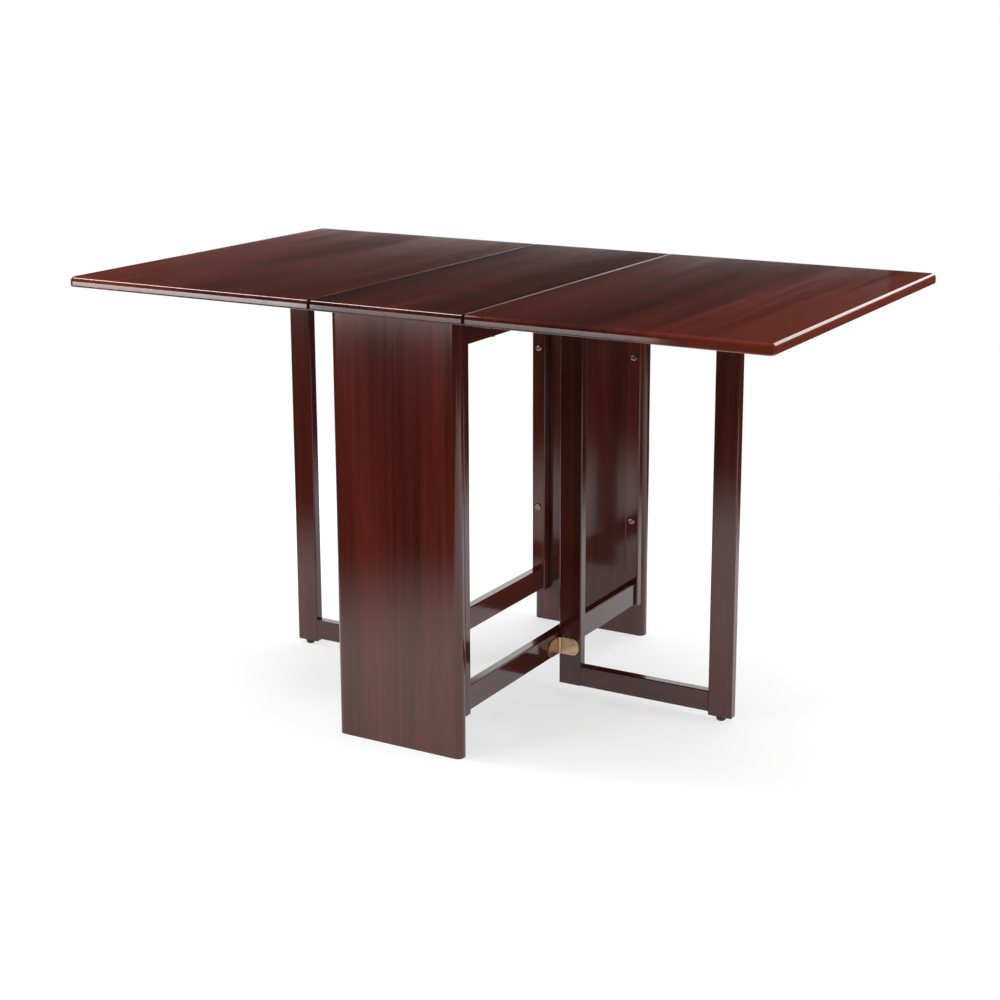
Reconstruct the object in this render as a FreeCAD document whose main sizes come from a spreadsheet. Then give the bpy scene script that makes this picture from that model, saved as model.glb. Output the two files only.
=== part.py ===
import FreeCAD, Part
import os
import re
import Sketcher

# A drop-leaf dining table with its leaves up and both gates open. X runs along the top from leaf
# to leaf, Y from the front end panel to the rear one, Z up from the floor. The left half is the
# right half turned half round about Z, so a function that builds one side takes its turn.

doc = FreeCAD.newDocument("drop_leaf_table")
sizes = doc.addObject("Spreadsheet::Sheet", "sizes")

SIZES = [
    ("top_length", "1304", "top from end to end, leaves up"),
    ("top_depth", "762", "top from front to back"),
    ("top_height", "745", "floor to upper face"),
    ("board", "18", "thickness of every board but the end panels"),
    ("centre_width", "287", "fixed centre board between the joints"),
    ("joint_gap", "2", "open line between the centre board and a leaf"),
    ("top_edge_round", "8", "upper outer edge of the top"),
    ("top_corner_round", "9", "outer corners of the leaves, seen from above"),
    ("under_edge_round", "3", "lower outer edge of the top"),
    ("joint_edge_round", "2.5", "edges of the boards along a joint"),
    ("panel_width", "240", "end panel from side to side"),
    ("panel_thickness", "25", "end panel"),
    ("panel_setback", "24", "edge of the top to the outer face of an end panel"),
    ("panel_edge_round", "11", "upright edges of an end panel"),
    ("post_width", "28", "frame post from side to side"),
    ("post_inset", "4.5", "side edge of a panel to the outer face of a post"),
    ("post_bottom", "65", "lower end of a post above the floor"),
    ("post_edge_round", "2.5", "upright edges of a post"),
    ("post_end_round", "2", "edges round the lower end of a post or leg"),
    ("top_rail_height", "44.5", "frame rail under the centre board"),
    ("stretcher_height", "43.5", "frame stretcher"),
    ("stretcher_bottom", "68.5", "underside of a stretcher above the floor"),
    ("rail_round", "2", "long edges of rails, stiles and legs"),
    ("gate_reach", "334", "stretcher face to the far face of a gate leg"),
    ("stile_width", "43", "gate hinge stile"),
    ("leg_width", "44", "gate leg"),
    ("gate_rail_height", "37.5", "both rails of a gate"),
    ("gate_bottom", "14.5", "underside of a gate's lower rail above the floor"),
    ("leg_bottom", "8", "lower end of a gate leg above the floor"),
    ("gate_rail_drop", "6", "upper gate rail and stile below the top of the leg, clear of leaf hinges"),
    ("gate_clearance", "0.3", "gate to leaf above it and to frame beside it"),
    ("glide_diameter", "18", "foot glide under a gate leg"),
    ("glide_round", "6", "rounded lower edge of a glide"),
    ("glide_spigot_diameter", "6", "pin of a glide, driven into the leg"),
    ("glide_spigot", "12", "length of that pin"),
    ("plate", "1.6", "hinge plate thickness"),
    ("gate_plate_length", "37", "gate hinge plate from the pin to its round end"),
    ("gate_plate_height", "31", "gate hinge plate"),
    ("gate_plate_end_round", "13", "round end of a gate hinge plate"),
    ("gate_knuckle", "5.5", "gate hinge knuckle diameter"),
    ("gate_pin", "3", "gate hinge pin diameter"),
    ("gate_hinge_low", "85.5", "middle of the lower gate hinge above the floor"),
    ("leaf_plate_length", "40", "leaf hinge plate along the joint"),
    ("leaf_plate_width", "23", "leaf hinge plate from the pin to its edge"),
    ("leaf_plate_round", "4", "outer corners of a leaf hinge plate"),
    ("leaf_knuckle", "5", "leaf hinge knuckle diameter"),
    ("leaf_pin", "2.5", "leaf hinge pin diameter"),
    ("leaf_hinge_spread", "245", "outer leaf hinges from the middle one"),
    ("pin_clearance", "0.05", "round a pin in the knuckle that turns on it"),
    ("knuckle_gap", "0.4", "between neighbouring knuckles"),
    ("knuckle_off_wood", "0.3", "knuckle to the board beside it"),
    ("gate_screw_near", "11", "gate hinge screws from the pin"),
    ("gate_screw_far", "26", "gate hinge screws from the pin"),
    ("gate_screw_stagger", "6", "gate hinge screws above and below the middle of the plate"),
    ("leaf_screw_out", "14", "leaf hinge screws from the pin"),
    ("leaf_screw_spread", "12", "leaf hinge screws from the middle of the plate"),
    ("screw_head", "6", "hinge screw head diameter"),
    ("screw_head_depth", "1.5", "countersunk head"),
    ("screw_shank", "3", "hinge screw shank diameter"),
    ("screw_length", "13", "hinge screw with its head"),
    ("screw_slot", "0.8", "width and depth of the slot in a screw head"),
    ("bolt_head", "13", "connector bolt head diameter"),
    ("bolt_head_thick", "2.2", "connector bolt head"),
    ("bolt_head_round", "1", "rim of that head"),
    ("bolt_shank", "6", "connector bolt shank diameter"),
    ("bolt_hole_clearance", "0.25", "round the shank in the wood"),
    ("bolt_socket", "4", "across the flats of the six-sided socket"),
    ("bolt_socket_depth", "1.6", "socket"),
    ("insert_diameter", "10", "threaded insert pressed into a panel or the top"),
    ("insert_length", "12", "threaded insert"),
    ("post_bolt_low", "236", "lower bolt of a post above the floor"),
    ("post_bolt_high", "554", "upper bolt of a post above the floor"),
    ("top_bolt_spread", "220", "bolts of the top rails from the middle of the table"),
    ("dowel", "8", "dowel diameter"),
    ("dowel_in_upright", "11", "dowel in a post, stile or leg"),
    ("dowel_in_rail", "19", "dowel in the end of a rail"),
    ("dowel_spacing", "20", "between the two dowels of a rail end"),
    ("underside", "=top_height - board", "underside of the top above the floor"),
    ("joint_x", "=(centre_width + joint_gap) / 2", "middle of a joint"),
    ("leaf_width", "=top_length / 2 - joint_x - joint_gap / 2", "leaf from joint to end"),
    ("panel_y", "=top_depth / 2 - panel_setback - panel_thickness / 2", "middle of an end panel"),
    ("post_x", "=panel_width / 2 - post_inset - post_width / 2", "middle of a post"),
    ("post_y", "=panel_y - panel_thickness / 2 - board / 2", "middle of a post"),
    ("rail_face", "=post_x + board / 2", "outer face of a rail or stretcher"),
    ("rail_length", "=2 * post_y - board", "rail or stretcher between its posts"),
    ("gate_face", "=gate_knuckle / 2 + knuckle_off_wood", "hinge face of a gate, pins at Y = 0"),
    ("gate_y", "=gate_face + board / 2", "middle of a gate's thickness"),
    ("leg_top", "=underside - gate_clearance", "upper end of a gate leg, which carries the leaf"),
    ("gate_top", "=leg_top - gate_rail_drop", "upper end of a hinge stile and upper rail"),
    ("stile_x", "=rail_face + gate_clearance + stile_width / 2", "middle of a hinge stile"),
    ("leg_x", "=rail_face + gate_reach - leg_width / 2", "middle of a gate leg"),
    ("gate_rail_length", "=leg_x - leg_width / 2 - stile_x - stile_width / 2", "gate rail"),
    ("gate_rail_x", "=leg_x - leg_width / 2 - gate_rail_length / 2", "middle of a gate rail"),
    ("gate_axis_x", "=rail_face + gate_knuckle / 2 + knuckle_off_wood", "gate hinge pin"),
    ("gate_hinge_high", "=underside - top_rail_height / 2", "middle of the upper gate hinge"),
    ("leaf_axis_z", "=underside - leaf_knuckle / 2 - knuckle_off_wood", "leaf hinge pin"),
]

for row, (name, content, meaning) in enumerate(SIZES, start=1):
    sizes.set("A%d" % row, name)
    sizes.set("B%d" % row, content)
    sizes.setAlias("B%d" % row, name)
    sizes.set("C%d" % row, meaning)
doc.recompute()

RIGHT, LEFT = 0, 180
SIDES = (("right", RIGHT), ("left", LEFT))
X_AXIS = FreeCAD.Vector(1, 0, 0)
Y_AXIS = FreeCAD.Vector(0, 1, 0)
Z_AXIS = FreeCAD.Vector(0, 0, 1)
names = {name for name, content, meaning in SIZES}


def bind(thing, prop, expression):
    """Drive a property from the sheet; sizes go by their own names in the expression."""
    def from_sheet(word):
        return "sizes." + word.group() if word.group() in names else word.group()

    thing.setExpression(prop, re.sub("[a-z_]+", from_sheet, expression))


def place(thing, x, y, z, turn=RIGHT, rotation=None):
    """Set a place given for the right side, turned half round about Z for the left side."""
    half_turn = FreeCAD.Rotation(Z_AXIS, turn)
    thing.Placement.Rotation = half_turn.multiply(rotation) if rotation else half_turn
    sign = "-" if turn == LEFT else ""
    bind(thing, "Placement.Base.x", "%s(%s)" % (sign, x))
    bind(thing, "Placement.Base.y", "%s(%s)" % (sign, y))
    bind(thing, "Placement.Base.z", z)


def origin_plane(body, role):
    return next(feature for feature in body.Origin.OriginFeatures if feature.Role == role)


def start_sketch(body, role):
    sketch = body.newObject("Sketcher::SketchObject", "outline")
    sketch.AttachmentSupport = [(origin_plane(body, role), "")]
    sketch.MapMode = "FlatFace"
    return sketch


def rectangle(sketch, across, along):
    """Rectangle about the middle of the sketch, across its first axis and along its second."""
    corners = [FreeCAD.Vector(x, y, 0) for x, y in ((-10, -5), (10, -5), (10, 5), (-10, 5))]
    for index in range(4):
        sketch.addGeometry(Part.LineSegment(corners[index], corners[(index + 1) % 4]), False)
    for index in range(4):
        sketch.addConstraint(Sketcher.Constraint("Coincident", index, 2, (index + 1) % 4, 1))
        sketch.addConstraint(Sketcher.Constraint("Horizontal" if index % 2 == 0 else "Vertical", index))
    sketch.addConstraint(Sketcher.Constraint("Symmetric", 0, 1, 1, 2, -1, 1))
    spans = ((0, "DistanceX", "across", across), (1, "DistanceY", "along", along))
    for line, kind, constraint, size in spans:
        number = sketch.addConstraint(Sketcher.Constraint(kind, line, 1, line, 2, 10.0))
        sketch.renameConstraint(number, constraint)
        bind(sketch, "Constraints." + constraint, size)


def board(label, across, along, tall):
    """A plain board standing on the middle of its lower face."""
    body = doc.addObject("PartDesign::Body", label)
    sketch = start_sketch(body, "XY_Plane")
    rectangle(sketch, across, along)
    pad = body.newObject("PartDesign::Pad", "board")
    pad.Profile = sketch
    bind(pad, "Length", tall)
    doc.recompute()
    return body


def rounded(body, radius, wanted):
    """Round the edges of a body that the test picks from their middle points and directions."""
    base = body.Tip
    shape = base.Shape
    picked = []
    for number, edge in enumerate(shape.Edges, start=1):
        box = edge.BoundBox
        if wanted(edge.CenterOfMass, (box.XLength, box.YLength, box.ZLength), shape.BoundBox):
            picked.append("Edge%d" % number)
    fillet = body.newObject("PartDesign::Fillet", "rounding")
    fillet.Base = (base, picked)
    bind(fillet, "Radius", radius)
    body.Tip = fillet
    doc.recompute()


NEAR = 1e-4


def upright(middle, spans, box):
    return spans[0] < NEAR and spans[1] < NEAR


def at_lower_end(middle, spans, box):
    return abs(middle.z - box.ZMin) < NEAR


def along_x(middle, spans, box):
    return spans[1] < NEAR and spans[2] < NEAR


def along_y(middle, spans, box):
    return spans[0] < NEAR and spans[2] < NEAR


def outer_uprights(middle, spans, box):
    return upright(middle, spans, box) and middle.x > 0


def outer_rim(middle, spans, box):
    return abs(middle.z - box.ZMax) < NEAR and middle.x > box.XMin + NEAR


def outer_under_rim(middle, spans, box):
    return at_lower_end(middle, spans, box) and middle.x > box.XMin + NEAR


def inner_side(middle, spans, box):
    return spans[0] < NEAR and abs(middle.x - box.XMin) < NEAR


def both_sides(middle, spans, box):
    return spans[0] < NEAR and abs(abs(middle.x) - box.XMax) < NEAR


def end_rim(middle, spans, box):
    return along_x(middle, spans, box) and abs(middle.z - box.ZMax) < NEAR


def end_under_rim(middle, spans, box):
    return along_x(middle, spans, box) and at_lower_end(middle, spans, box)


def rod(label, diameter, length, x, y, z, turn=RIGHT, rotation=None):
    """A round rod from a point along Z, or along the way the rotation sends Z."""
    cylinder = doc.addObject("Part::Cylinder", label)
    bind(cylinder, "Radius", "(%s) / 2" % diameter)
    bind(cylinder, "Height", length)
    place(cylinder, x, y, z, turn, rotation)
    return cylinder


def group(label, members):
    """Several solids of one node."""
    compound = doc.addObject("Part::Compound", label)
    compound.Links = members
    return compound


def joined(label, members):
    fusion = doc.addObject("Part::MultiFuse", label)
    fusion.Shapes = members
    return fusion


def cut_from(label, base, tools):
    """A piece with the tools taken out of it."""
    cut = doc.addObject("Part::Cut", label)
    cut.Base = base
    cut.Tool = group(label + "_holes", tools)
    return cut


def copy_at(original, x, y, z, turn=RIGHT, rotation=None):
    link = doc.addObject("App::Link", original.Name + "_copy")
    link.LinkedObject = original
    place(link, x, y, z, turn, rotation)
    return link


TO_PLUS_X = FreeCAD.Rotation(Y_AXIS, 90)
TO_MINUS_X = FreeCAD.Rotation(Y_AXIS, -90)
TO_PLUS_Y = FreeCAD.Rotation(X_AXIS, -90)
TO_MINUS_Y = FreeCAD.Rotation(X_AXIS, 90)

nodes = []


def node(thing, label):
    thing.Label = label
    nodes.append(thing)
    return thing


# Fasteners, each modelled once with its head below zero and its shank up Z.

def hinge_screw(label, slotted):
    body = doc.addObject("PartDesign::Body", label)
    head = body.newObject("PartDesign::AdditiveCone", "head")
    bind(head, "Radius1", "screw_head / 2")
    bind(head, "Radius2", "screw_shank / 2")
    bind(head, "Height", "screw_head_depth")
    shank = body.newObject("PartDesign::AdditiveCylinder", "shank")
    bind(shank, "Radius", "screw_shank / 2")
    bind(shank, "Height", "screw_length")
    if slotted:
        slot = body.newObject("PartDesign::SubtractiveBox", "slot")
        bind(slot, "Length", "screw_head")
        bind(slot, "Width", "screw_slot")
        bind(slot, "Height", "screw_slot")
        bind(slot, "Placement.Base.x", "-screw_head / 2")
        bind(slot, "Placement.Base.y", "-screw_slot / 2")
    doc.recompute()
    return body


def connector_bolt(label, grip):
    """Flat round head with a six-sided socket; the shank grips through the wood into an insert."""
    body = doc.addObject("PartDesign::Body", label)
    head = body.newObject("PartDesign::AdditiveCylinder", "head")
    bind(head, "Radius", "bolt_head / 2")
    bind(head, "Height", "bolt_head_thick")
    bind(head, "Placement.Base.z", "-bolt_head_thick")
    doc.recompute()
    rounded(body, "bolt_head_round", at_lower_end)
    shank = body.newObject("PartDesign::AdditiveCylinder", "shank")
    bind(shank, "Radius", "bolt_shank / 2")
    bind(shank, "Height", "%s + insert_length" % grip)
    socket = body.newObject("PartDesign::SubtractivePrism", "socket")
    socket.Polygon = 6
    bind(socket, "Circumradius", "bolt_socket / 2 / cos(30)")
    bind(socket, "Height", "bolt_socket_depth")
    bind(socket, "Placement.Base.z", "-bolt_head_thick")
    doc.recompute()
    return body


def threaded_insert():
    body = doc.addObject("PartDesign::Body", "threaded_insert")
    sleeve = body.newObject("PartDesign::AdditiveCylinder", "sleeve")
    bind(sleeve, "Radius", "insert_diameter / 2")
    bind(sleeve, "Height", "insert_length")
    bore = body.newObject("PartDesign::SubtractiveCylinder", "bore")
    bind(bore, "Radius", "bolt_shank / 2")
    bind(bore, "Height", "insert_length")
    doc.recompute()
    return body


def foot_glide():
    """Domed foot on a pin that is driven up into the leg."""
    body = doc.addObject("PartDesign::Body", "foot_glide")
    foot = body.newObject("PartDesign::AdditiveCylinder", "foot")
    bind(foot, "Radius", "glide_diameter / 2")
    bind(foot, "Height", "leg_bottom")
    doc.recompute()
    rounded(body, "glide_round", at_lower_end)
    spigot = body.newObject("PartDesign::AdditiveCylinder", "spigot")
    bind(spigot, "Radius", "glide_spigot_diameter / 2")
    bind(spigot, "Height", "leg_bottom / 2 + glide_spigot")
    bind(spigot, "Placement.Base.z", "leg_bottom / 2")
    doc.recompute()
    return body


screw = hinge_screw("hinge_screw", True)
screw_hole = hinge_screw("hinge_screw_hole", False)
post_bolt = connector_bolt("post_bolt", "board")
top_bolt = connector_bolt("top_bolt", "top_rail_height")
insert = threaded_insert()
glide = foot_glide()


# Hinges. Half a hinge is modelled with its pin up Z through the origin and its plate along X.
# The swinging half has its wood on the +Y side of the pin and the fixed half on the -Y side.

SWINGING, FIXED = "", "-"
OUTER_RINGS, MIDDLE_RING = (0, 2), (1,)


def plate_end(middle, spans, box):
    return along_y(middle, spans, box) and middle.x > 0


def hinge_half(label, half, length, height, end_round, knuckle, pin):
    """A plate with its rings, and room in it for the rings of the other half."""
    own, other = (MIDDLE_RING, OUTER_RINGS) if half == SWINGING else (OUTER_RINGS, MIDDLE_RING)
    bore = "%s + 2 * pin_clearance" % pin if half == SWINGING else pin
    plate = board(label + "_plate", length, "plate", height)
    rounded(plate, end_round, plate_end)
    place(plate, "%s / 2" % length, "%s(%s / 2 + knuckle_off_wood - plate / 2)" % (half, knuckle),
          "-%s / 2" % height)
    ring = "(%s - 2 * knuckle_gap) / 3" % height
    foot = "%%d * (%s + knuckle_gap) - %s / 2" % (ring, height)
    rings = [rod(label + "_ring", knuckle, ring, "0", "0", foot % level) for level in own]
    room = [rod(label + "_room", "%s + 2 * knuckle_gap" % knuckle, "%s + 2 * knuckle_gap" % ring,
                "0", "0", foot % level + " - knuckle_gap") for level in other]
    whole = joined(label + "_whole", [cut_from(label + "_cleared", plate, room)] + rings)
    return cut_from(label, whole, [rod(label + "_bore", bore, height, "0", "0", "-%s / 2" % height)])


GATE_HINGE = ("gate_plate_length", "gate_plate_height", "gate_plate_end_round",
              "gate_knuckle", "gate_pin")
LEAF_HINGE = ("leaf_plate_width", "leaf_plate_length", "leaf_plate_round",
              "leaf_knuckle", "leaf_pin")
gate_half_fixed = hinge_half("gate_half_fixed", FIXED, *GATE_HINGE)
gate_half_swinging = hinge_half("gate_half_swinging", SWINGING, *GATE_HINGE)
leaf_half_fixed = hinge_half("leaf_half_fixed", FIXED, *LEAF_HINGE)
leaf_half_swinging = hinge_half("leaf_half_swinging", SWINGING, *LEAF_HINGE)

GATE_FIXED_WAY = FreeCAD.Rotation(Z_AXIS, -90)
LEAF_SWINGING_WAY = FreeCAD.Rotation(X_AXIS, 90)
LEAF_FIXED_WAY = LEAF_SWINGING_WAY.multiply(FreeCAD.Rotation(Z_AXIS, 180))
GATE_HINGES = ("gate_hinge_low", "gate_hinge_high")
LEAF_HINGES = ("-leaf_hinge_spread", "0", "leaf_hinge_spread")
GATE_SCREWS = (("gate_screw_near", "-"), ("gate_screw_far", "+"))
LEAF_SCREWS = ("-leaf_screw_spread", "leaf_screw_spread")


def gate_screws(original, half, turn):
    """Screws, or their holes, of one half of both hinges of a gate."""
    made = []
    for height in GATE_HINGES:
        for out, way in GATE_SCREWS:
            z = "%s %s gate_screw_stagger" % (height, way)
            if half == SWINGING:
                x, y, drive = "gate_axis_x + " + out, "gate_face - plate", TO_PLUS_Y
            else:
                x, y, drive = "rail_face + plate", "-" + out, TO_MINUS_X
            made.append(copy_at(original, x, y, z, turn, drive))
    return made


def leaf_screws(original, half, turn):
    """Screws, or their holes, of one half of the hinges of a leaf."""
    way = "+" if half == SWINGING else "-"
    return [copy_at(original, "joint_x %s leaf_screw_out" % way, "%s + %s" % (middle, out),
                    "underside - plate", turn)
            for middle in LEAF_HINGES for out in LEAF_SCREWS]


# End panels and the side frames between them.

ENDS = (("rear", "", TO_PLUS_Y), ("front", "-", TO_MINUS_Y))
SIGN = {"right": "", "left": "-"}
BOTH_WAYS = ("-", "+")
BOLT_HOLE = "bolt_shank + 2 * bolt_hole_clearance"
post_bolts = []
inserts = []
frame_dowels = []
insert_holes = {"front": [], "rear": []}
post_holes = {}

for end, along, way in ENDS:
    for side in SIGN:
        drilled = post_holes[side, end] = []
        for z in ("post_bolt_low", "post_bolt_high"):
            x = SIGN[side] + "post_x"
            inner_face = "%s(post_y - board / 2)" % along
            panel_face = "%s(panel_y - panel_thickness / 2)" % along
            post_bolts.append(copy_at(post_bolt, x, inner_face, z, RIGHT, way))
            inserts.append(copy_at(insert, x, panel_face, z, RIGHT, way))
            drilled.append(rod("bolt_hole", BOLT_HOLE, "board", x, inner_face, z, RIGHT, way))
            insert_holes[end].append(rod("insert_hole", "insert_diameter", "insert_length",
                                         x, panel_face, z, RIGHT, way))

RAILS = (("top_rail", "top_rail_height", "underside - top_rail_height"),
         ("stretcher", "stretcher_height", "stretcher_bottom"))
TOP_BOLTS = ("-top_bolt_spread", "top_bolt_spread")

for side, turn in SIDES:
    screw_holes = gate_screws(screw_hole, FIXED, turn)
    for name, height, foot in RAILS:
        rail = board(name, "board", "rail_length", height)
        rounded(rail, "rail_round", along_y)
        place(rail, "post_x", "0", foot, turn)
        holes = list(screw_holes)
        for end, along, way in ENDS:
            for level in BOTH_WAYS:
                dowel = rod("frame_dowel", "dowel", "dowel_in_rail + dowel_in_upright",
                            SIGN[side] + "post_x", "%s(rail_length / 2 - dowel_in_rail)" % along,
                            "%s + %s / 2 %s dowel_spacing / 2" % (foot, height, level), RIGHT, way)
                frame_dowels.append(dowel)
                holes.append(dowel)
                post_holes[side, end].append(dowel)
        if name == "top_rail":
            for y in TOP_BOLTS:
                holes.append(rod("bolt_hole", BOLT_HOLE, height, "post_x", y, foot, turn))
        node(cut_from(name + "_cut", rail, holes), "%s_%s" % (side, name))

for end, along, way in ENDS:
    panel = board("panel", "panel_width", "panel_thickness", "underside")
    rounded(panel, "panel_edge_round", upright)
    place(panel, "0", along + "panel_y", "0")
    node(cut_from("panel_cut", panel, insert_holes[end]), end + "_end_panel")
    for side in SIGN:
        post = board("post", "post_width", "board", "underside - post_bottom")
        rounded(post, "post_edge_round", upright)
        rounded(post, "post_end_round", at_lower_end)
        place(post, SIGN[side] + "post_x", along + "post_y", "post_bottom")
        node(cut_from("post_cut", post, post_holes[side, end]), "%s_%s_post" % (side, end))

# The top: a fixed centre board and two hinged leaves.

centre = board("centre", "centre_width", "top_depth", "board")
rounded(centre, "top_edge_round", end_rim)
rounded(centre, "under_edge_round", end_under_rim)
rounded(centre, "joint_edge_round", both_sides)
place(centre, "0", "0", "underside")
top_bolts = []
centre_holes = []
fixed_gate_screws = []
fixed_leaf_screws = []

for side, turn in SIDES:
    for y in TOP_BOLTS:
        top_bolts.append(copy_at(top_bolt, "post_x", y, "underside - top_rail_height", turn))
        inserts.append(copy_at(insert, "post_x", y, "underside", turn))
        centre_holes.append(rod("insert_hole", "insert_diameter", "insert_length",
                                "post_x", y, "underside", turn))
    centre_holes += leaf_screws(screw_hole, FIXED, turn)
    fixed_leaf_screws += leaf_screws(screw, FIXED, turn)
    fixed_gate_screws += gate_screws(screw, FIXED, turn)

node(cut_from("centre_cut", centre, centre_holes), "centre_top")
node(group("post_bolt_group", post_bolts), "post_bolts")
node(group("top_bolt_group", top_bolts), "top_bolts")
node(group("insert_group", inserts), "threaded_inserts")
node(group("frame_dowel_group", frame_dowels), "frame_dowels")
node(group("fixed_gate_screw_group", fixed_gate_screws), "gate_hinge_frame_screws")
node(group("fixed_leaf_screw_group", fixed_leaf_screws), "leaf_hinge_top_screws")

for side, turn in SIDES:
    leaf = board("leaf", "leaf_width", "top_depth", "board")
    rounded(leaf, "top_corner_round", outer_uprights)
    rounded(leaf, "top_edge_round", outer_rim)
    rounded(leaf, "under_edge_round", outer_under_rim)
    rounded(leaf, "joint_edge_round", inner_side)
    place(leaf, "top_length / 2 - leaf_width / 2", "0", "underside", turn)
    node(cut_from("leaf_cut", leaf, leaf_screws(screw_hole, SWINGING, turn)), side + "_leaf")
    node(group("leaf_screw_group", leaf_screws(screw, SWINGING, turn)), side + "_leaf_hinge_screws")
    for half, original, way, name in ((FIXED, leaf_half_fixed, LEAF_FIXED_WAY, "top_plates"),
                                      (SWINGING, leaf_half_swinging, LEAF_SWINGING_WAY, "leaf_plates")):
        plates = group("leaf_plates", [copy_at(original, "joint_x", y, "leaf_axis_z", turn, way)
                                       for y in LEAF_HINGES])
        node(cut_from("leaf_plates_cut", plates, leaf_screws(screw_hole, half, turn)),
             "%s_leaf_hinge_%s" % (side, name))
    node(group("leaf_pin_group", [rod("leaf_pin", "leaf_pin", "leaf_plate_length", "joint_x",
                                      "%s - leaf_plate_length / 2" % y, "leaf_axis_z", turn, TO_PLUS_Y)
                                  for y in LEAF_HINGES]), side + "_leaf_hinge_pins")

# The gates that swing out to carry the leaves.

for side, turn in SIDES:
    stile = board("stile", "stile_width", "board", "gate_top - gate_bottom")
    rounded(stile, "rail_round", upright)
    place(stile, "stile_x", "gate_y", "gate_bottom", turn)
    leg = board("leg", "leg_width", "board", "leg_top - leg_bottom")
    rounded(leg, "rail_round", upright)
    rounded(leg, "post_end_round", at_lower_end)
    place(leg, "leg_x", "gate_y", "leg_bottom", turn)
    dowels = {"stile": [], "leg": []}
    for name, foot in (("lower_rail", "gate_bottom"), ("upper_rail", "gate_top - gate_rail_height")):
        rail = board("gate_rail", "gate_rail_length", "board", "gate_rail_height")
        rounded(rail, "rail_round", along_x)
        place(rail, "gate_rail_x", "gate_y", foot, turn)
        own = []
        for upright_piece, out, way in (("stile", "-", TO_MINUS_X), ("leg", "+", TO_PLUS_X)):
            for level in BOTH_WAYS:
                dowel = rod("gate_dowel", "dowel", "dowel_in_rail + dowel_in_upright",
                            "gate_rail_x %s (gate_rail_length / 2 - dowel_in_rail)" % out, "gate_y",
                            "%s + gate_rail_height / 2 %s dowel_spacing / 2" % (foot, level),
                            turn, way)
                dowels[upright_piece].append(dowel)
                own.append(dowel)
        node(cut_from("gate_rail_cut", rail, own), "%s_gate_%s" % (side, name))
    spigot_hole = rod("spigot_hole", "glide_spigot_diameter", "glide_spigot",
                      "leg_x", "gate_y", "leg_bottom", turn)
    stile_holes = dowels["stile"] + gate_screws(screw_hole, SWINGING, turn)
    node(cut_from("stile_cut", stile, stile_holes), side + "_gate_hinge_stile")
    node(cut_from("leg_cut", leg, dowels["leg"] + [spigot_hole]), side + "_gate_leg")
    node(group("gate_glide", [copy_at(glide, "leg_x", "gate_y", "0", turn)]),
         side + "_gate_foot_glide")
    node(group("gate_dowel_group", dowels["stile"] + dowels["leg"]), side + "_gate_dowels")
    node(group("gate_screw_group", gate_screws(screw, SWINGING, turn)), side + "_gate_hinge_screws")
    for half, original, way, name in ((FIXED, gate_half_fixed, GATE_FIXED_WAY, "frame_plates"),
                                      (SWINGING, gate_half_swinging, None, "gate_plates")):
        plates = group("gate_plates", [copy_at(original, "gate_axis_x", "0", z, turn, way)
                                       for z in GATE_HINGES])
        node(cut_from("gate_plates_cut", plates, gate_screws(screw_hole, half, turn)),
             "%s_gate_hinge_%s" % (side, name))
    node(group("gate_pin_group", [rod("gate_pin", "gate_pin", "gate_plate_height", "gate_axis_x",
                                      "0", "%s - gate_plate_height / 2" % z, turn)
                                  for z in GATE_HINGES]), side + "_gate_hinge_pins")

doc.recompute()
for thing in doc.Objects:
    if "Invalid" in thing.State or "Error" in thing.State:
        raise ValueError("%s did not compute" % thing.Label)

os.makedirs("parts", exist_ok=True)
for thing in nodes:
    if thing.Shape.isNull() or not thing.Shape.isValid():
        raise ValueError("%s has no valid shape" % thing.Label)
    thing.Shape.exportStep("parts/%s.step" % thing.Label)
    print("%-28s %2d solids %9.1f mm3" % (thing.Label, len(thing.Shape.Solids), thing.Shape.Volume))
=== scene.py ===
import math

import bpy
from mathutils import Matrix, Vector


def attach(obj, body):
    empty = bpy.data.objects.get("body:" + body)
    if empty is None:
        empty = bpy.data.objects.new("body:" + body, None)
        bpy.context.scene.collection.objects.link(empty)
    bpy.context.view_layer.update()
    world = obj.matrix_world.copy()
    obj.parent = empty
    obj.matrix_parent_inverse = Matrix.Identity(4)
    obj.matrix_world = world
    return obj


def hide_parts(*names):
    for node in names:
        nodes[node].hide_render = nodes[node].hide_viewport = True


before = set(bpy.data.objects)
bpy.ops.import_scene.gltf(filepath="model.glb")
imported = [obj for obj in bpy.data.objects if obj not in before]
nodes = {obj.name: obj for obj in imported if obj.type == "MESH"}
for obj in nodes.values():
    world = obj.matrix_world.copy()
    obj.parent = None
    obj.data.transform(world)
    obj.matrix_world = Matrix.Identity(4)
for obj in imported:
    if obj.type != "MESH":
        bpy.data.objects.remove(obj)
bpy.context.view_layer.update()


def new_material(name):
    """An empty node material with a Principled shader wired to its output."""
    material = bpy.data.materials.new(name)
    material.use_nodes = True
    tree = material.node_tree
    tree.nodes.clear()
    output = tree.nodes.new("ShaderNodeOutputMaterial")
    shader = tree.nodes.new("ShaderNodeBsdfPrincipled")
    tree.links.new(shader.outputs["BSDF"], output.inputs["Surface"])
    return material, tree, shader


def feed(tree, socket, value):
    """Link a socket to another, or set it where the value is a plain number, colour or vector."""
    if isinstance(value, bpy.types.NodeSocket):
        tree.links.new(value, socket)
    elif isinstance(value, tuple) and socket.type == "RGBA":
        socket.default_value = (*value, 1.0)
    else:
        socket.default_value = value


def add(tree, kind, inputs=None, **properties):
    """A new node with its properties set and its inputs fed by name or number."""
    node = tree.nodes.new(kind)
    for key, value in properties.items():
        setattr(node, key, value)
    for key, value in (inputs or {}).items():
        feed(tree, node.inputs[key], value)
    return node


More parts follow.
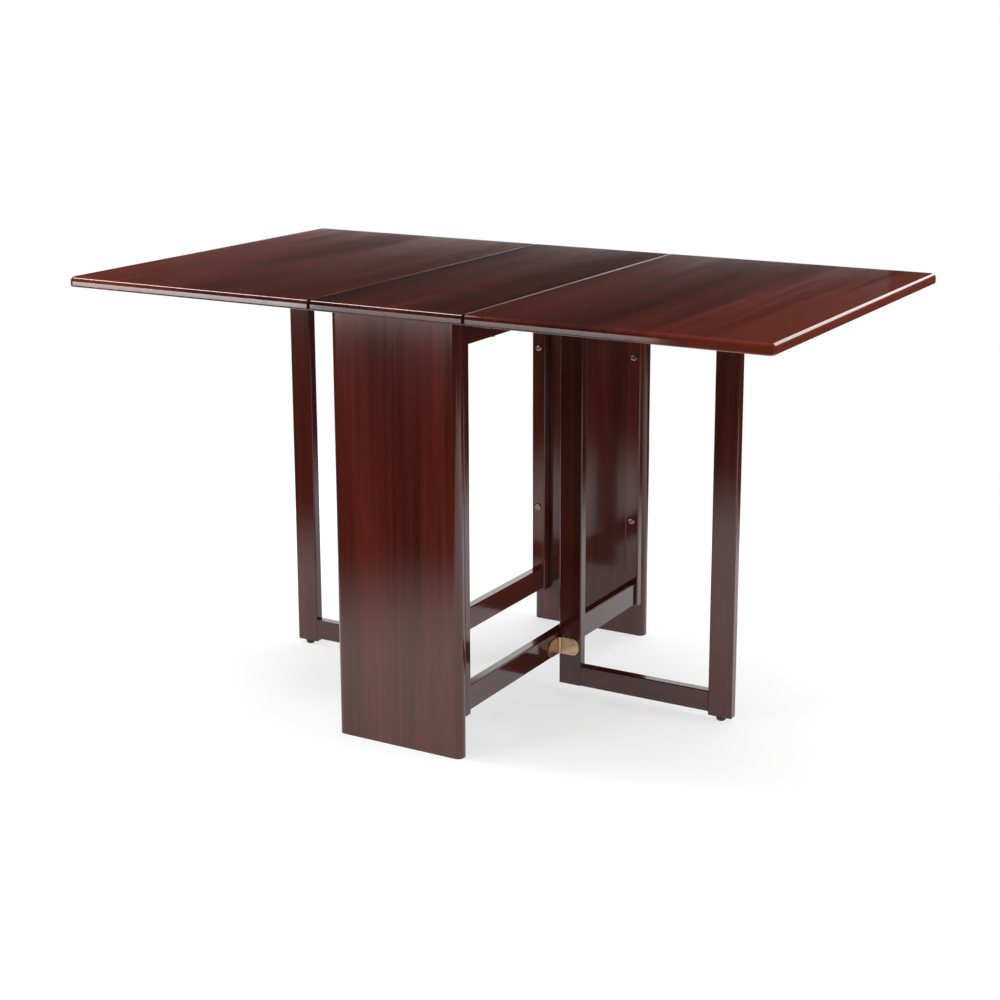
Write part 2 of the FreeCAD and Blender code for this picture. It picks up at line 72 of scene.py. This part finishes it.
def along_grain(tree, grain="z", squeeze=1.0):
    """Object coordinates squeezed along one axis, so that a pattern is drawn out that way."""
    place = add(tree, "ShaderNodeTexCoord")
    scale = tuple(squeeze if axis == grain else 1.0 for axis in "xyz")
    mapping = add(tree, "ShaderNodeMapping", {
        "Vector": place.outputs["Object"], "Scale": scale})
    return mapping.outputs["Vector"]


def noise(tree, vector, scale, detail, seed, roughness=0.5, distortion=0.0):
    """A soft random pattern; another seed gives another pattern of the same kind."""
    node = add(tree, "ShaderNodeTexNoise", noise_dimensions="4D")
    for key, value in (("Vector", vector), ("Scale", scale), ("Detail", detail), ("W", seed),
                       ("Roughness", roughness), ("Distortion", distortion)):
        feed(tree, node.inputs[key], value)
    return node.outputs["Fac"]


def ramp(tree, value, stops):
    """A colour ramp through (position, colour) stops."""
    node = add(tree, "ShaderNodeValToRGB", {"Fac": value})
    elements = node.color_ramp.elements
    while len(elements) < len(stops):
        elements.new(0.5)
    for element, (position, colour) in zip(elements, stops):
        element.position = position
        element.color = (*colour, 1.0)
    return node.outputs["Color"]


def spread(tree, value, low, high, to_low, to_high):
    """Maps a value from one range to another, eased and held at the ends."""
    node = add(tree, "ShaderNodeMapRange", {
        "Value": value, "From Min": low, "From Max": high, "To Min": to_low, "To Max": to_high},
        interpolation_type="SMOOTHSTEP")
    return node.outputs["Result"]


def maths(tree, operation, first, second=0.0, third=0.0):
    """One sum on up to three values."""
    node = add(tree, "ShaderNodeMath", {0: first, 1: second, 2: third}, operation=operation)
    return node.outputs["Value"]


def weighted(tree, parts):
    """The sum of several values, each times its weight."""
    total = None
    for value, weight in parts:
        share = maths(tree, "MULTIPLY", value, weight)
        total = share if total is None else maths(tree, "ADD", total, share)
    return total


# The mix node repeats its socket names for every kind of value; these are the colour ones.
MIX_AMOUNT, MIX_UNDER, MIX_OVER = 0, 6, 7
MIX_RESULT = 2


def blended(tree, mode, amount, under, over):
    """Two colours mixed."""
    node = add(tree, "ShaderNodeMix", {MIX_AMOUNT: amount, MIX_UNDER: under, MIX_OVER: over},
               data_type="RGBA", blend_type=mode)
    return node.outputs[MIX_RESULT]


def bumped(tree, shader, height, strength, distance):
    """Lets a pattern raise and sink the surface a little in the shading."""
    node = add(tree, "ShaderNodeBump", {
        "Strength": strength, "Distance": distance, "Height": height})
    tree.links.new(node.outputs["Normal"], shader.inputs["Normal"])


# The stain from the darkest tone to the lightest, before its depth, which also carries painted
# shade on some pieces, is allowed for.
STAIN = (
    (0.36, (0.020, 0.0042, 0.0030)),
    (0.47, (0.052, 0.0080, 0.0046)),
    (0.56, (0.086, 0.0128, 0.0070)),
    (0.70, (0.165, 0.0260, 0.0130)),
)
# Distances from the middle of the table where the warmth of the ends begins and is full, in metres.
WARM_FROM = 0.30
WARM_FULL = 0.62


def lacquered_wood(name, grain, seed, stain_and_shade_depth, dull, warm_ends):
    """Dark stained hardwood under gloss lacquer; the grain runs along one axis of the frame.

    Depth darkens the stain, for the wood's own tone and, on pieces that stand in shade, as painted
    shade;
    dull is the roughness where the lacquer shines most, and warm ends let more red through towards
    the two ends of the table.
    """
    material, tree, shader = new_material(name)
    clouds = noise(tree, along_grain(tree, grain, 0.16), scale=6.0, detail=2.0, seed=seed,
                   roughness=0.45, distortion=0.25)
    streaks = noise(tree, along_grain(tree, grain, 0.05), scale=26.0, detail=3.0, seed=seed + 3.1,
                    roughness=0.55, distortion=0.3)
    bands = noise(tree, along_grain(tree, grain, 0.02), scale=95.0, detail=3.0, seed=seed + 9.4,
                  roughness=0.6)
    fibres = noise(tree, along_grain(tree, grain, 0.03), scale=520.0, detail=2.0, seed=seed + 7.7,
                   roughness=0.6)
    tone = weighted(tree, ((clouds, 0.34), (streaks, 0.34), (bands, 0.22), (fibres, 0.10)))
    if warm_ends:
        place = add(tree, "ShaderNodeTexCoord")
        across = add(tree, "ShaderNodeSeparateXYZ", {"Vector": place.outputs["Object"]})
        from_middle = maths(tree, "ABSOLUTE", across.outputs["X"])
        warmth = spread(tree, from_middle, WARM_FROM, WARM_FULL, 0.0, warm_ends)
        tone = maths(tree, "ADD", tone, maths(tree, "MULTIPLY", warmth, clouds))
    dark = 1.0 / stain_and_shade_depth
    stain = ramp(tree, tone, [(at, tuple(part * dark for part in colour)) for at, colour in STAIN])
    line = spread(tree, fibres, 0.52, 0.72, 0.0, 0.28)
    colour = blended(tree, "MULTIPLY", line, stain, (0.45, 0.36, 0.34))
    tree.links.new(colour, shader.inputs["Base Color"])
    rub = weighted(tree, ((clouds, 0.5), (bands, 0.3), (fibres, 0.2)))
    tree.links.new(spread(tree, rub, 0.35, 0.65, dull, dull + 0.05), shader.inputs["Roughness"])
    bumped(tree, shader, weighted(tree, ((bands, 0.6), (fibres, 0.4))), 0.025, 0.0004)
    shader.inputs["IOR"].default_value = 1.5
    shader.inputs["Coat Weight"].default_value = 0.3
    shader.inputs["Coat Roughness"].default_value = 0.05
    return material


def pale_wood(name):
    """Raw dowel wood with fine upright lines."""
    material, tree, shader = new_material(name)
    streaks = noise(tree, along_grain(tree, "z", 0.1), scale=160.0, detail=4.0, seed=1.7,
                    roughness=0.6)
    colour = ramp(tree, streaks, ((0.3, (0.42, 0.27, 0.14)), (0.7, (0.66, 0.47, 0.28))))
    tree.links.new(colour, shader.inputs["Base Color"])
    tree.links.new(spread(tree, streaks, 0.3, 0.7, 0.55, 0.75), shader.inputs["Roughness"])
    bumped(tree, shader, streaks, 0.2, 0.0003)
    return material


def aged_brass(name):
    """Pressed brass, dulled and browned in patches, with fine drawing lines."""
    material, tree, shader = new_material(name)
    patches = noise(tree, along_grain(tree), scale=95.0, detail=5.0, seed=2.3,
                    roughness=0.6, distortion=0.3)
    lines = noise(tree, along_grain(tree, "z", 0.04), scale=900.0, detail=2.0, seed=4.1)
    colour = ramp(tree, patches, (
        (0.30, (0.44, 0.300, 0.200)),
        (0.50, (0.60, 0.430, 0.300)),
        (0.70, (0.74, 0.570, 0.410)),
    ))
    tree.links.new(colour, shader.inputs["Base Color"])
    shader.inputs["Metallic"].default_value = 1.0
    wear = weighted(tree, ((patches, 0.6), (lines, 0.4)))
    tree.links.new(spread(tree, wear, 0.3, 0.7, 0.24, 0.42), shader.inputs["Roughness"])
    bumped(tree, shader, wear, 0.12, 0.0002)
    return material


def plated_steel(name):
    """Bronze-toned plating with a soft, slightly mottled shine."""
    material, tree, shader = new_material(name)
    patches = noise(tree, along_grain(tree), scale=240.0, detail=4.0, seed=6.1, roughness=0.6)
    colour = ramp(tree, patches, ((0.3, (0.22, 0.172, 0.138)), (0.7, (0.46, 0.375, 0.310))))
    tree.links.new(colour, shader.inputs["Base Color"])
    shader.inputs["Metallic"].default_value = 1.0
    tree.links.new(spread(tree, patches, 0.3, 0.7, 0.16, 0.30), shader.inputs["Roughness"])
    bumped(tree, shader, patches, 0.1, 0.0001)
    return material


def moulded_plastic(name):
    """Dark brown plastic with a fine moulded stipple."""
    material, tree, shader = new_material(name)
    stipple = noise(tree, along_grain(tree), scale=700.0, detail=3.0, seed=8.8, roughness=0.6)
    colour = ramp(tree, stipple, ((0.3, (0.010, 0.008, 0.007)), (0.7, (0.030, 0.022, 0.018))))
    tree.links.new(colour, shader.inputs["Base Color"])
    tree.links.new(spread(tree, stipple, 0.3, 0.7, 0.42, 0.62), shader.inputs["Roughness"])
    bumped(tree, shader, stipple, 0.3, 0.0002)
    return material


brass = aged_brass("aged_brass")
steel = plated_steel("plated_steel")
plastic = moulded_plastic("dark_plastic")
dowel_wood = pale_wood("pale_dowel_wood")

# Wooden pieces by the way their grain runs, with the depth of the stain (deeper on the rear panel
# and hinge stiles as painted shade), the dullness of the lacquer and the warmth at the ends.
WOOD = (
    ("y", 1.35, 0.07, 0.0, ("centre_top",)),
    ("y", 1.20, 0.07, 0.30, ("right_leaf",)),
    ("y", 1.15, 0.07, 0.20, ("left_leaf",)),
    ("y", 1.0, 0.10, 0.0, ("right_top_rail", "left_top_rail",
                           "right_stretcher", "left_stretcher")),
    ("x", 1.4, 0.10, 0.0, ("right_gate_lower_rail", "right_gate_upper_rail",
                           "left_gate_lower_rail", "left_gate_upper_rail")),
    ("z", 1.0, 0.10, 0.0, ("front_end_panel",)),
    # Painted shade: the deeper stain darkens the rear panel for the shade it stands in under the
    # top.
    ("z", 1.5, 0.10, 0.0, ("rear_end_panel",)),
    ("z", 1.0, 0.10, 0.0, ("right_front_post", "right_rear_post",
                           "left_front_post", "left_rear_post", "right_gate_leg")),
    ("z", 1.2, 0.10, 0.0, ("left_gate_leg",)),
    # Painted shade: the deepest stain darkens the hinge stiles for the shade they stand in behind
    # the front panel and under the top.
    ("z", 1.9, 0.10, 0.0, ("right_gate_hinge_stile", "left_gate_hinge_stile")),
)
SEED_STEP = 11.3

finish = {}
for grain, stain_and_shade_depth, dull, warm_ends, names in WOOD:
    for name in names:
        seed = SEED_STEP * (len(finish) + 1)
        finish[name] = lacquered_wood("lacquered_" + name, grain, seed, stain_and_shade_depth, dull, warm_ends)


def finish_of(name):
    """The material of a node, from what the node is."""
    if name in finish:
        return finish[name]
    if "dowels" in name:
        return dowel_wood
    if "glide" in name:
        return plastic
    if "bolts" in name or "inserts" in name:
        return steel
    return brass


for name, thing in nodes.items():
    thing.data.materials.clear()
    thing.data.materials.append(finish_of(name))


# Bolts and screws stand on points that carry the way each is driven. A bolt is modelled with its
# head below zero, a screw with its head from zero up, and both with the shank up Z. The rim of a
# bolt's head falls away with this power of the height, and a slot reaches across a screw's head and
# out at both sides, in head radii.
RIM_CURVE = 4.0
SLOT_REACH = 2.2
SHARP_ANGLE = math.radians(35)


def size_input(tree, name, value, kind="NodeSocketFloat"):
    """A named input of a tree, with its usual value."""
    socket = tree.interface.new_socket(name, in_out="INPUT", socket_type=kind)
    socket.default_value = value


def moved(tree, geometry, shift):
    """A shape moved by a vector."""
    return add(tree, "GeometryNodeTransform", {
        "Geometry": geometry, "Translation": shift}).outputs["Geometry"]


def offset(tree, height):
    """A vector straight up Z."""
    return add(tree, "ShaderNodeCombineXYZ", {"Z": height}).outputs["Vector"]


def bolt_head(tree, given):
    """Round head with an eased rim and a six-sided socket."""
    height, radius = given["Head Height"], given["Head Radius"]
    disc = add(tree, "GeometryNodeMeshCylinder", {
        "Vertices": 40, "Side Segments": 8, "Radius": radius, "Depth": height})
    at = add(tree, "ShaderNodeSeparateXYZ", {
        "Vector": add(tree, "GeometryNodeInputPosition").outputs["Position"]})
    from_seat = maths(tree, "SUBTRACT", 0.5, maths(tree, "DIVIDE", at.outputs["Z"], height))
    drop = maths(tree, "MULTIPLY", maths(tree, "POWER", from_seat, RIM_CURVE), given["Rim Drop"])
    width = maths(tree, "SUBTRACT", 1.0, drop)
    eased = add(tree, "GeometryNodeSetPosition", {
        "Geometry": disc.outputs["Mesh"],
        "Position": add(tree, "ShaderNodeCombineXYZ", {
            "X": maths(tree, "MULTIPLY", at.outputs["X"], width),
            "Y": maths(tree, "MULTIPLY", at.outputs["Y"], width),
            "Z": maths(tree, "SUBTRACT", at.outputs["Z"], maths(tree, "DIVIDE", height, 2.0)),
        }).outputs["Vector"]})
    socket = add(tree, "GeometryNodeMeshCylinder", {
        "Vertices": 6, "Radius": given["Recess Radius"],
        "Depth": maths(tree, "MULTIPLY", given["Recess Depth"], 2.0)})
    place = offset(tree, maths(tree, "MULTIPLY", height, -1.0))
    return eased.outputs["Geometry"], moved(tree, socket.outputs["Mesh"], place)


def screw_head(tree, given):
    """Countersunk head, flush with the plate, with a straight slot."""
    cone = add(tree, "GeometryNodeMeshCone", {
        "Vertices": 28, "Radius Bottom": given["Head Radius"],
        "Radius Top": given["Shank Radius"], "Depth": given["Head Height"]})
    slot = add(tree, "GeometryNodeMeshCube", {"Size": add(tree, "ShaderNodeCombineXYZ", {
        "X": maths(tree, "MULTIPLY", given["Head Radius"], SLOT_REACH),
        "Y": maths(tree, "MULTIPLY", given["Recess Radius"], 2.0),
        "Z": maths(tree, "MULTIPLY", given["Recess Depth"], 2.0)}).outputs["Vector"]})
    return cone.outputs["Mesh"], slot.outputs["Mesh"]


def fastener_tree(name, head, material, sizes):
    """A tree that sets one fastener on every point and turns each at random about its own shank."""
    tree = bpy.data.node_groups.new(name, "GeometryNodeTree")
    tree.interface.new_socket("Points", in_out="INPUT", socket_type="NodeSocketGeometry")
    for label, value in sizes.items():
        size_input(tree, label, value)
    size_input(tree, "Seed", 0, "NodeSocketInt")
    tree.interface.new_socket("Fasteners", in_out="OUTPUT", socket_type="NodeSocketGeometry")
    given = add(tree, "NodeGroupInput").outputs
    solid, recess = head(tree, given)
    cut = add(tree, "GeometryNodeMeshBoolean", {"Mesh 1": solid, "Mesh 2": recess},
              operation="DIFFERENCE", solver="EXACT")
    shank = add(tree, "GeometryNodeMeshCone", {
        "Vertices": 20, "Radius Bottom": given["Shank Radius"],
        "Radius Top": given["Tip Radius"],
        "Depth": maths(tree, "SUBTRACT", given["Shank Length"], given["Shank Start"])})
    raised = moved(tree, shank.outputs["Mesh"], offset(tree, given["Shank Start"]))
    whole = add(tree, "GeometryNodeJoinGeometry")
    tree.links.new(cut.outputs["Mesh"], whole.inputs["Geometry"])
    tree.links.new(raised, whole.inputs["Geometry"])
    drive = add(tree, "GeometryNodeInputNamedAttribute", {"Name": "drive"},
                data_type="FLOAT_VECTOR")
    facing = add(tree, "FunctionNodeAlignRotationToVector", {
        "Vector": drive.outputs["Attribute"]}, axis="Z")
    angle = add(tree, "FunctionNodeRandomValue", {"Max": 2 * math.pi, "Seed": given["Seed"]},
                data_type="FLOAT")
    twist = add(tree, "FunctionNodeAxisAngleToRotation", {
        "Axis": (0.0, 0.0, 1.0), "Angle": angle.outputs["Value"]})
    turned = add(tree, "FunctionNodeRotateRotation", {
        "Rotation": facing.outputs["Rotation"], "Rotate By": twist.outputs["Rotation"]},
        rotation_space="LOCAL")
    spots = add(tree, "GeometryNodeInstanceOnPoints", {
        "Points": given["Points"], "Instance": whole.outputs["Geometry"],
        "Rotation": turned.outputs["Rotation"]})
    real = add(tree, "GeometryNodeRealizeInstances", {"Geometry": spots.outputs["Instances"]})
    dressed = add(tree, "GeometryNodeSetMaterial", {
        "Geometry": real.outputs["Geometry"], "Material": material})
    result = add(tree, "NodeGroupOutput")
    tree.links.new(dressed.outputs["Geometry"], result.inputs["Fasteners"])
    return tree


def set_fasteners(node, body, tree, seed, shank, spots):
    """Real fasteners in place of a CAD node, one for each spot and the way it is driven."""
    points = bpy.data.meshes.new(node + "_points")
    points.from_pydata([spot for spot, way in spots], [], [])
    drive = points.attributes.new("drive", "FLOAT_VECTOR", "POINT")
    for value, (spot, way) in zip(drive.data, spots):
        value.vector = way
    carrier = bpy.data.objects.new(node + "_carrier", points)
    bpy.context.scene.collection.objects.link(carrier)
    modifier = carrier.modifiers.new("fasteners", "NODES")
    modifier.node_group = tree
    inputs = {item.name: item.identifier for item in tree.interface.items_tree
              if item.in_out == "INPUT"}
    modifier[inputs["Seed"]] = seed
    modifier[inputs["Shank Length"]] = shank
    bpy.context.view_layer.update()
    evaluated = carrier.evaluated_get(bpy.context.evaluated_depsgraph_get())
    mesh = bpy.data.meshes.new_from_object(evaluated)
    bpy.data.objects.remove(carrier)
    mesh.shade_smooth()
    mesh.set_sharp_from_angle(angle=SHARP_ANGLE)
    piece = bpy.data.objects.new(node + "_set", mesh)
    bpy.context.scene.collection.objects.link(piece)
    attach(piece, body)
    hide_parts(node)


bolt_tree = fastener_tree("connector_bolts", bolt_head, steel, {
    "Head Radius": 0.0065, "Head Height": 0.0022, "Rim Drop": 0.2,
    "Recess Radius": 0.0023, "Recess Depth": 0.0016,
    "Shank Radius": 0.003, "Tip Radius": 0.003,
    "Shank Start": 0.0, "Shank Length": 0.030})
screw_tree = fastener_tree("hinge_screws", screw_head, brass, {
    "Head Radius": 0.003, "Head Height": 0.0015,
    "Recess Radius": 0.0004, "Recess Depth": 0.0008,
    "Shank Radius": 0.0015, "Tip Radius": 0.00105,
    "Shank Start": 0.0015, "Shank Length": 0.013})

# Places of the fasteners on the right side and lengths of their shanks, from the CAD, in metres.
POST_X = 0.1015
POST_FACE = 0.314
POST_BOLT_HEIGHTS = (0.236, 0.554)
TOP_BOLT_Y = 0.22
TOP_BOLT_SEAT = 0.6825
RAIL_PLATE = 0.1121
GATE_PIN_X = 0.11355
GATE_PLATE = 0.00145
GATE_HINGES = (0.0855, 0.70475)
GATE_SCREWS = ((0.011, -0.006), (0.026, 0.006))
JOINT_X = 0.1445
LEAF_PLATE = 0.7254
LEAF_HINGES = (-0.245, 0.0, 0.245)
LEAF_SCREW_OUT = 0.014
LEAF_SCREW_SPREAD = 0.012
POST_BOLT_SHANK = 0.030
TOP_BOLT_SHANK = 0.0565
SCREW_SHANK = 0.013


def turned_half(sign, spot, way):
    """A spot given for the right side, turned half round about the middle for the left side."""
    return ((sign * spot[0], sign * spot[1], spot[2]), (sign * way[0], sign * way[1], way[2]))


def post_bolt_spots():
    """Two bolts to a post, driven outwards into the end panels."""
    return [((x, y, z), (0.0, math.copysign(1.0, y), 0.0))
            for x in (POST_X, -POST_X) for y in (POST_FACE, -POST_FACE)
            for z in POST_BOLT_HEIGHTS]


def top_bolt_spots():
    """Two bolts to a top rail, driven up into the centre board."""
    return [((x, y, TOP_BOLT_SEAT), (0.0, 0.0, 1.0))
            for x in (POST_X, -POST_X) for y in (TOP_BOLT_Y, -TOP_BOLT_Y)]


def frame_plate_spots(sign):
    """Screws of one gate's hinges into the frame."""
    return [turned_half(sign, (RAIL_PLATE, -out, z + up), (-1.0, 0.0, 0.0))
            for z in GATE_HINGES for out, up in GATE_SCREWS]


def gate_plate_spots(sign):
    """Screws of one gate's hinges into its stile."""
    return [turned_half(sign, (GATE_PIN_X + out, GATE_PLATE, z + up), (0.0, 1.0, 0.0))
            for z in GATE_HINGES for out, up in GATE_SCREWS]


def leaf_hinge_spots(sign, out):
    """Screws of one leaf's hinges, driven up at a distance out from the joint."""
    return [turned_half(sign, (JOINT_X + out, y + along, LEAF_PLATE), (0.0, 0.0, 1.0))
            for y in LEAF_HINGES for along in (-LEAF_SCREW_SPREAD, LEAF_SCREW_SPREAD)]


set_fasteners("post_bolts", "base", bolt_tree, seed=3,
              shank=POST_BOLT_SHANK, spots=post_bolt_spots())
set_fasteners("top_bolts", "base", bolt_tree, seed=5,
              shank=TOP_BOLT_SHANK, spots=top_bolt_spots())
set_fasteners("gate_hinge_frame_screws", "base", screw_tree, seed=7,
              shank=SCREW_SHANK, spots=frame_plate_spots(1) + frame_plate_spots(-1))
set_fasteners("leaf_hinge_top_screws", "base", screw_tree, seed=9,
              shank=SCREW_SHANK,
              spots=leaf_hinge_spots(1, -LEAF_SCREW_OUT) + leaf_hinge_spots(-1, -LEAF_SCREW_OUT))
for side, sign in (("right", 1), ("left", -1)):
    set_fasteners(side + "_gate_hinge_screws", side + "_gate", screw_tree,
                  seed=11 + sign, shank=SCREW_SHANK, spots=gate_plate_spots(sign))
    set_fasteners(side + "_leaf_hinge_screws", side + "_leaf", screw_tree,
                  seed=15 + sign, shank=SCREW_SHANK, spots=leaf_hinge_spots(sign, LEAF_SCREW_OUT))


# Where the floor fades: X and Y together to the front left, and Y alone to the rear, in metres.
FLOOR_FRONT_FADE = (-1.95, -0.95)
FLOOR_REAR_FADE = (0.7, 1.5)


def floor_sheet():
    """A pale glowing sheet, thinning out to the front left and to the rear, clear from below."""
    mesh = bpy.data.meshes.new("floor")
    corners = [(-2.6, -2.2, 0.0), (2.6, -2.2, 0.0), (2.6, 1.6, 0.0), (-2.6, 1.6, 0.0)]
    mesh.from_pydata(corners, [], [(0, 1, 2, 3)])
    sheet = bpy.data.objects.new("floor", mesh)
    bpy.context.scene.collection.objects.link(sheet)
    material, tree, shader = new_material("floor_paper")
    fibre = noise(tree, along_grain(tree), scale=3.0, detail=2.0, seed=0.4)
    colour = ramp(tree, fibre, ((0.3, (0.40, 0.40, 0.40)), (0.7, (0.42, 0.42, 0.42))))
    tree.links.new(colour, shader.inputs["Base Color"])
    shader.inputs["Emission Color"].default_value = (1.0, 1.0, 1.0, 1.0)
    shader.inputs["Emission Strength"].default_value = 0.65
    shader.inputs["Roughness"].default_value = 0.9
    shader.inputs["Specular IOR Level"].default_value = 0.1
    place = add(tree, "ShaderNodeTexCoord")
    spot = add(tree, "ShaderNodeSeparateXYZ", {"Vector": place.outputs["Object"]})
    slantwise = maths(tree, "ADD", spot.outputs["Y"], spot.outputs["X"])
    in_front = spread(tree, slantwise, *FLOOR_FRONT_FADE, 0.0, 1.0)
    behind = spread(tree, spot.outputs["Y"], *FLOOR_REAR_FADE, 1.0, 0.0)
    side = add(tree, "ShaderNodeNewGeometry")
    from_above = maths(tree, "SUBTRACT", 1.0, side.outputs["Backfacing"])
    shown = maths(tree, "MULTIPLY", maths(tree, "MULTIPLY", in_front, behind), from_above)
    tree.links.new(shown, shader.inputs["Alpha"])
    mesh.materials.append(material)


def softbox(name, place, aim, width, height, power, mirrored):
    """A rectangular studio light at a place, turned to face a point.

    One that isn't mirrored lights the wood without its outline showing in the lacquer.
    """
    data = bpy.data.lights.new(name, "AREA")
    data.shape = "RECTANGLE"
    data.size = width
    data.size_y = height
    data.energy = power
    lamp = bpy.data.objects.new(name, data)
    lamp.visible_glossy = mirrored
    bpy.context.scene.collection.objects.link(lamp)
    lamp.location = place
    lamp.rotation_euler = (Vector(aim) - Vector(place)).to_track_quat("-Z", "Y").to_euler()


def surroundings():
    """Dim walls for the lacquer to reflect, and a pale backdrop behind everything."""
    world = bpy.data.worlds.new("studio")
    bpy.context.scene.world = world
    world.use_nodes = True
    tree = world.node_tree
    tree.nodes.clear()
    output = tree.nodes.new("ShaderNodeOutputWorld")
    place = tree.nodes.new("ShaderNodeTexCoord")
    parts = add(tree, "ShaderNodeSeparateXYZ", {"Vector": place.outputs["Generated"]})
    height = maths(tree, "MULTIPLY_ADD", parts.outputs["Z"], 0.5, 0.5)
    walls = ramp(tree, height, (
        (0.36, (0.02, 0.02, 0.02)),
        (0.46, (0.05, 0.05, 0.05)),
        (0.55, (0.075, 0.073, 0.073)),
        (0.585, (0.016, 0.015, 0.015)),
        (0.62, (0.009, 0.009, 0.009)),
        (0.95, (0.12, 0.12, 0.12)),
    ))
    dim = add(tree, "ShaderNodeBackground", {"Color": walls})
    backdrop = add(tree, "ShaderNodeBackground", {"Color": (1.0, 1.0, 1.0)})
    ray = add(tree, "ShaderNodeLightPath")
    chosen = add(tree, "ShaderNodeMixShader", {
        "Fac": ray.outputs["Is Camera Ray"], 1: dim.outputs["Background"],
        2: backdrop.outputs["Background"]})
    tree.links.new(chosen.outputs["Shader"], output.inputs["Surface"])


def photo_camera():
    """Stands off the right front corner, half a metre above the top, with a long lens."""
    data = bpy.data.cameras.new("photo_camera")
    data.sensor_width = 36.0
    data.lens = 68.065
    data.shift_y = -0.08
    camera = bpy.data.objects.new("photo_camera", data)
    bpy.context.scene.collection.objects.link(camera)
    camera.location = (1.6123, -2.8300, 1.2399)
    camera.rotation_euler = [math.radians(a) for a in (76.963, 0.154, 29.760)]
    bpy.context.scene.camera = camera


# Studio lights: name, place, point faced, width, height, watts, and whether the lacquer mirrors it.
LIGHTS = (
    ("overhead", (0.2, 0.5, 3.2), (0.2, 0.5, 0.0), 4.2, 3.4, 130.0, False),
    ("key_strip", (-2.05, -0.85, 3.0), (-2.05, -0.85, 0.0), 1.7, 0.35, 45.0, True),
    ("rear_wash", (-0.9, 1.5, 0.498), (-0.9, 0.0, 0.498), 2.2, 0.796, 8.3, True),
    ("front_left", (-2.17, -2.9, 1.14), (-2.17, 0.0, 1.14), 1.85, 1.58, 98.0, False),
    ("low_strip_left", (-2.525, -2.9, 0.2775), (-2.525, 0.0, 0.2775), 1.15, 0.145, 6.0, True),
    ("low_strip_right", (-1.325, -2.9, 0.2775), (-1.325, 0.0, 0.2775), 1.25, 0.145, 2.6, True),
    ("rear_right", (1.15, 3.0, 1.86), (1.15, 0.0, 1.86), 1.7, 0.75, 13.0, True),
    ("right_fill", (2.9, 0.3, 1.0), (0.3, 0.0, 0.5), 1.4, 1.4, 42.0, False),
)

floor_sheet()
surroundings()
for light in LIGHTS:
    softbox(*light)
photo_camera()
bpy.context.scene.view_settings.view_transform = "Standard"
